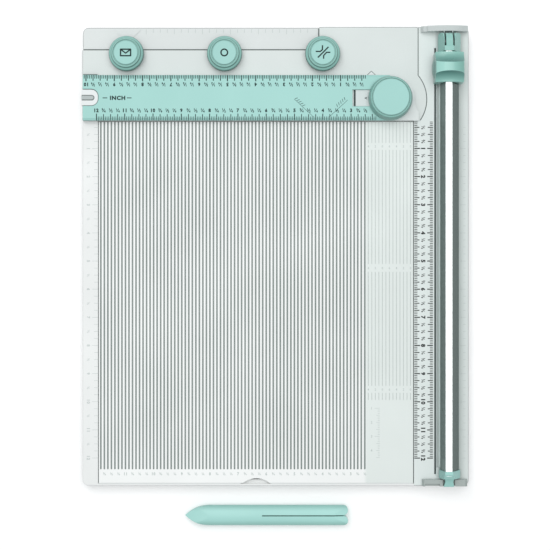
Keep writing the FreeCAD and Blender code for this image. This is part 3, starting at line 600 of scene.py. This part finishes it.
# two slanted guide lines, each with a row of short dashes along it
DASH_PITCH = 2.3
guides = Marks(INK)
guides.bar(25.5, 133.1, ARM_TOP, 23.6, 0.3, -43)
guides.bar(56.4, 132.7, ARM_TOP, 22.6, 0.3, 42.5)
for x, y, degrees in ((22.0, 138.7, -43.0), (58.6, 138.4, 42.5)):
    slant = math.radians(degrees)
    for k in range(-2, 3):
        guides.bar(x + DASH_PITCH * k * math.cos(slant), y + DASH_PITCH * k * math.sin(slant),
                   ARM_TOP, 2.8, 0.42, degrees + 62)
guides.piece("ruler_guide_marks", "arm", paint["ink_teal"])

# the lock slider's arrow, and beside it a dark strip laid as painted shade in the window's gap
pad_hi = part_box("lock_slider")[1]
arrow = Marks(0.04)
arrow.prism([(79.6, RULER_MIDDLE_Y), (82.2, 141.0), (81.6, RULER_MIDDLE_Y), (82.2, 143.4)],
            pad_hi.z / MM)
arrow.piece("slider_arrow", "lock", paint["gap"])
shade = Marks(0.5)
shade.bar(71.1, RULER_MIDDLE_Y, 17.25, 1.3, 14.4)
window_gap_shade = shade.piece("window_shade", "arm", paint["dark"])
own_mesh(window_gap_shade)

# the black scale on the trimmer bed
bed_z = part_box("trimmer_bed")[1].z / MM
FENCE_Y = 122.8
BED_SCALE_X = (125.2, 142.0)
BED_DIGIT_X = 133.2
bed = Marks(INK)
for i in range(1, FULL_SCALE + 1):
    y = FENCE_Y - i * INCH / PART
    out = tick_length(i, 5.2, 4.6, 2.8)
    width = tick_width(i)
    bed.bar(BED_SCALE_X[0] + out / 2, y, bed_z, out, width)
    bed.bar(BED_SCALE_X[1] - out / 2, y, bed_z, out, width)
    if i % PART == 0:
        bed.text(str(i // PART), BED_DIGIT_X, y, bed_z, 3.9, -90, 1.05, SCALE_BOLD)
    elif i % 4 == 0:
        bed.fraction(QUARTERS[i % PART], BED_DIGIT_X, y, bed_z, 3.3, -90)
bed.piece("bed_scale", "board", paint["ink_black"])

# faint embossed scales and numbers, coloured a little darker than the board: painted shade of their
# relief
strip_z = 13.2
STRIP_DIGIT_X = -169.0
strip = Marks(0.06)
for i in range(4, FULL_SCALE + 1, 4):
    y = FENCE_Y - i * INCH / PART
    out = tick_length(i, 5.2, 3.4, 2.0)
    strip.bar(-160.4 - out / 2, y, strip_z, out, 0.35)
    if i % PART == 0:
        strip.text(str(i // PART), STRIP_DIGIT_X, y, strip_z, 3.0, -90, 1.0, 0.05)
    elif i % 8 == 0:
        strip.fraction(QUARTERS[8], STRIP_DIGIT_X, y, strip_z, 2.4, -90)
strip.piece("strip_embossed_scale", "board", paint["emboss"])

plate_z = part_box("score_plate")[1].z / MM
numbers = Marks(INK)
for i in range(0, 76, 2):
    x = FRONT_ZERO_X - 2.5 * INCH - i * INCH / 8
    eighths = 20 + i
    if eighths % 8 == 0:
        numbers.text(str(eighths // 8), x, -196.2, plate_z, 2.8, 0, 0.9, 0.04)
    else:
        numbers.fraction(QUARTERS[2 * (eighths % 8)], x, -196.2, plate_z, 2.5, 0)
for y in (99.3, -10.5, -120.1):
    for i in range(0, 13, 2):
        x = FRONT_ZERO_X - 0.875 * INCH - i * INCH / 8
        numbers.text(str(i % 8), x, y, plate_z, 2.2, 0, 0.9, 0.02)
for i in range(29):
    y = -137.0 - i * INCH / PART
    out = tick_length(i, 4.6, 3.2, 1.8)
    numbers.bar(94.0 - out / 2, y, plate_z, out, 0.3)
    if i % 8 == 0:
        numbers.text(str(i // 8 + 1), 86.6, y, plate_z, 2.4, 0, 0.9, 0.02)
numbers.piece("plate_embossed_numbers", "score_plate", paint["emboss_cool"])

shelf_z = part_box("rear_shelf")[1].z / MM - 0.5
shelf = Marks(0.06)
for i in range(24):
    x = -117.0 + i * INCH / 4
    out = 4.6 if i % 4 == 0 else 3.2
    shelf.bar(x, 205.6 - out / 2, shelf_z, 0.35, out)
shelf.piece("shelf_embossed_ticks", "board", paint["emboss_cool"])

side_strip = Marks(INK)
for i in range(1, 49):
    out = 3.6 if i % 4 == 0 else 2.2
    side_strip.bar(171.4 - out / 2, FENCE_Y - i * INCH / 4, bed_z, out, 0.4)
    if i % 4 == 0 and i < 48:
        side_strip.text(str(i // 4), 167.2, FENCE_Y - i * INCH / 4, bed_z, 1.8, -90, 1.0, 0.03)
side_strip.piece("side_embossed_scale", "board", paint["emboss_cool"])

# a thin dark strip along the step between the punch head and the rear shelf: painted shade at the
# step
step_shade = Marks(0.3)
for start, end in ((-173.7, -145.5), (-122.3, -57.4), (-34.2, 30.7)):
    step_shade.bar((start + end) / 2, 186.75, shelf_z, end - start, 1.5)
step_shade.bar(39.1, 196.6, shelf_z, 0.9, 19.0)
step_shade.piece("shelf_step_shade", "board", paint["gap"])

# the light bead in the seam along the plate's front edge, left out at the finger notch
front_bead = Marks(0.85)
for x, length in ((-95.4, 128.0), (59.8, 128.4)):
    front_bead.bar(x, -204.85, 12.8, length, 0.46)
front_bead.piece("plate_front_bead", "board", paint["white"])

# the pointer on the punch head, white with a dark edge
pointer_z = 14.85
pointer = Marks(INK)
pointer.prism([(83.5, 163.6), (89.3, 163.6), (86.4, 166.3)], pointer_z)
pointer.piece("head_pointer_face", "board", paint["white"])
edge = Marks(0.1)
for x, degrees in ((84.55, 43), (88.25, -43)):
    edge.bar(x, 165.35, 14.6, 4.9, 0.5, degrees)
edge.piece("head_pointer_edge", "board", paint["gap"])

# the dark bead that closes the seam between the punch head and the trimmer bed, coloured as painted
# shade in the seam
PIVOT = (103.0, 141.8)
BEAD_R = 33.4
bead = Marks(0.08)
bead.bar(128.6, 184.7, bed_z, 0.8, 43.0)
BEAD_STEPS = 26
BEAD_START = 39.6
BEAD_END = -34.6
for i in range(BEAD_STEPS):
    turn = BEAD_START - (BEAD_START - BEAD_END) * (i + 0.5) / BEAD_STEPS
    across = math.radians(turn)
    bead.bar(PIVOT[0] + BEAD_R * math.cos(across), PIVOT[1] + BEAD_R * math.sin(across), bed_z,
             0.8, 1.72, turn)
bead.piece("head_seam_bead", "board", paint["gap"])


# ---- soft bellows under the buttons -------------------------------------------------

FOLDS = 4
FOLD_STEPS = 8
AROUND = 56
BELLOWS_R = 7.35
FOLD_DEPTH = 0.8
BELLOWS_WALL = 0.95


def bellows(kind):
    """The rubber return spring with rounded folds."""
    lo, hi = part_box("return_spring_" + kind)
    centre = (lo + hi) / 2
    rest_high = hi.z - lo.z
    profile = []
    steps = FOLDS * FOLD_STEPS
    for side, wall in ((1, 0.0), (-1, BELLOWS_WALL)):
        for k in range(steps + 1)[::side]:
            wave = math.cos(2 * math.pi * k / FOLD_STEPS)
            profile.append(((BELLOWS_R + FOLD_DEPTH * wave - wall) * MM,
                            lo.z + rest_high * k / steps))
    bm = bmesh.new()
    rings = []
    for radius, z in profile:
        ring = []
        for i in range(AROUND):
            a = 2 * math.pi * i / AROUND
            ring.append(bm.verts.new((centre.x + radius * math.cos(a),
                                      centre.y + radius * math.sin(a), z)))
        rings.append(ring)
    for k, ring in enumerate(rings):
        above = rings[(k + 1) % len(rings)]
        for i in range(AROUND):
            j = (i + 1) % AROUND
            face = bm.faces.new([ring[i], ring[j], above[j], above[i]])
            face.smooth = True
    mesh = bpy.data.meshes.new("bellows_" + kind)
    bm.to_mesh(mesh)
    bm.free()
    mesh.materials.append(paint["rubber"])
    made = bpy.data.objects.new("bellows_" + kind, mesh)
    bpy.context.scene.collection.objects.link(made)
    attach(made, "board")
    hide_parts("return_spring_" + kind)
    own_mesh(made)


for kind in KINDS:
    bellows(kind)


# ---- icons on the buttons -----------------------------------------------------------

PEN = 1.15
BROAD_PEN = 1.25
DISC_R = 8.8
RING_R = 2.95


def stroke(marks, points, z, width):
    """A line of short bars, about 1 mm each, which follow the surface."""
    for (x0, y0), (x1, y1) in zip(points, points[1:]):
        whole = math.hypot(x1 - x0, y1 - y0)
        angle = math.degrees(math.atan2(y1 - y0, x1 - x0))
        parts = max(1, round(whole))
        for k in range(parts):
            t = (k + 0.5) / parts
            marks.bar(x0 + t * (x1 - x0), y0 + t * (y1 - y0), z, whole / parts + width * 0.4, width,
                      angle)


for kind in KINDS:
    lo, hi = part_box("button_disc_" + kind)
    cx = (lo.x + hi.x) / 2 / MM
    cy = (lo.y + hi.y) / 2 / MM
    rim_z = hi.z / MM

    def dish(x, y, cx=cx, cy=cy, rim_z=rim_z):
        """The height of the disc's shallow dish."""
        return rim_z - 0.4 + 0.3 * min(math.hypot(x - cx, y - cy) / DISC_R, 1.0)

    icon = Marks(0.06)
    if kind == "envelope":
        w = 4.5
        h = 2.9
        box = [(-w, -h), (w, -h), (w, h), (-w, h), (-w, -h)]
        stroke(icon, [(cx + x, cy + y) for x, y in box], dish, BROAD_PEN)
        flap = [(-w + 0.3, h - 0.3), (0, -0.6), (w - 0.3, h - 0.3)]
        stroke(icon, [(cx + x, cy + y) for x, y in flap], dish, PEN)
    elif kind == "hole":
        ring = []
        for i in range(41):
            a = 2 * math.pi * i / 40
            ring.append((cx + RING_R * math.cos(a), cy + RING_R * math.sin(a)))
        stroke(icon, ring, dish, BROAD_PEN)
    else:
        stroke(icon, [(cx - 4.4, cy - 4.4), (cx + 4.8, cy + 4.8)], dish, PEN)
        stroke(icon, [(cx - 6.2, cy + 0.9), (cx - 2.4, cy + 0.9), (cx - 0.5, cy + 2.5),
                      (cx - 0.4, cy + 6.2)], dish, PEN)
        stroke(icon, [(cx + 6.4, cy + 0.1), (cx + 3.2, cy + 0.1), (cx + 0.6, cy - 2.8),
                      (cx + 0.6, cy - 5.4)], dish, PEN)
    icon.piece("icon_" + kind, "button_" + kind, paint["ink_teal"])


# ---- floor, light and camera --------------------------------------------------------

FLOOR_R = 8.0
FLOOR_DROP = 0.0002
floor_mesh = bpy.data.meshes.new("floor")
floor_bm = bmesh.new()
bmesh.ops.create_circle(floor_bm, cap_ends=True, segments=96, radius=FLOOR_R)
floor_bm.to_mesh(floor_mesh)
floor_bm.free()
floor = bpy.data.objects.new("floor", floor_mesh)
floor.location = (0, 0, -FLOOR_DROP)
bpy.context.scene.collection.objects.link(floor)
ground = Nodes("studio_floor")
ground.link(ground.mix(ground.ranged(ground.noise(3.0), 0.3, 0.7), (0.93, 0.93, 0.93, 1.0),
                       (0.91, 0.91, 0.91, 1.0)), ground.shader.inputs["Base Color"])
ground.set(Roughness=0.9, Specular_IOR_Level=0.1, Emission_Color=(1.0, 1.0, 1.0, 1.0),
           Emission_Strength=0.05)
floor_mesh.materials.append(ground.material)

world = bpy.data.worlds.new("studio")
world.use_nodes = True
world.node_tree.nodes["Background"].inputs["Color"].default_value = (0.96, 0.99, 1.0, 1.0)
world.node_tree.nodes["Background"].inputs["Strength"].default_value = 0.55
bpy.context.scene.world = world


def softbox(name, place, aim, size, power):
    light = bpy.data.lights.new(name, "AREA")
    light.shape = "SQUARE"
    light.size = size
    light.energy = power
    holder = bpy.data.objects.new(name, light)
    holder.location = place
    direction = Vector(aim) - Vector(place)
    holder.rotation_euler = direction.to_track_quat("-Z", "Y").to_euler()
    bpy.context.scene.collection.objects.link(holder)


softbox("overhead_softbox", (0.0, 0.35, 2.3), (0.0, 0.0, 0.0), 2.4, 38.0)
softbox("rear_softbox", (-0.9, 1.6, 1.6), (0.0, 0.0, 0.0), 1.2, 8.0)

camera_data = bpy.data.cameras.new("camera")
camera_data.sensor_width = 36.0
camera_data.lens = 87.05
camera_data.clip_end = 50.0
camera = bpy.data.objects.new("camera", camera_data)
camera.location = (-0.0005, -0.0168, 1.214)
camera.rotation_euler = (0.0, 0.0, 0.0)
bpy.context.scene.collection.objects.link(camera)
bpy.context.scene.camera = camera
bpy.context.scene.view_settings.view_transform = "Standard"
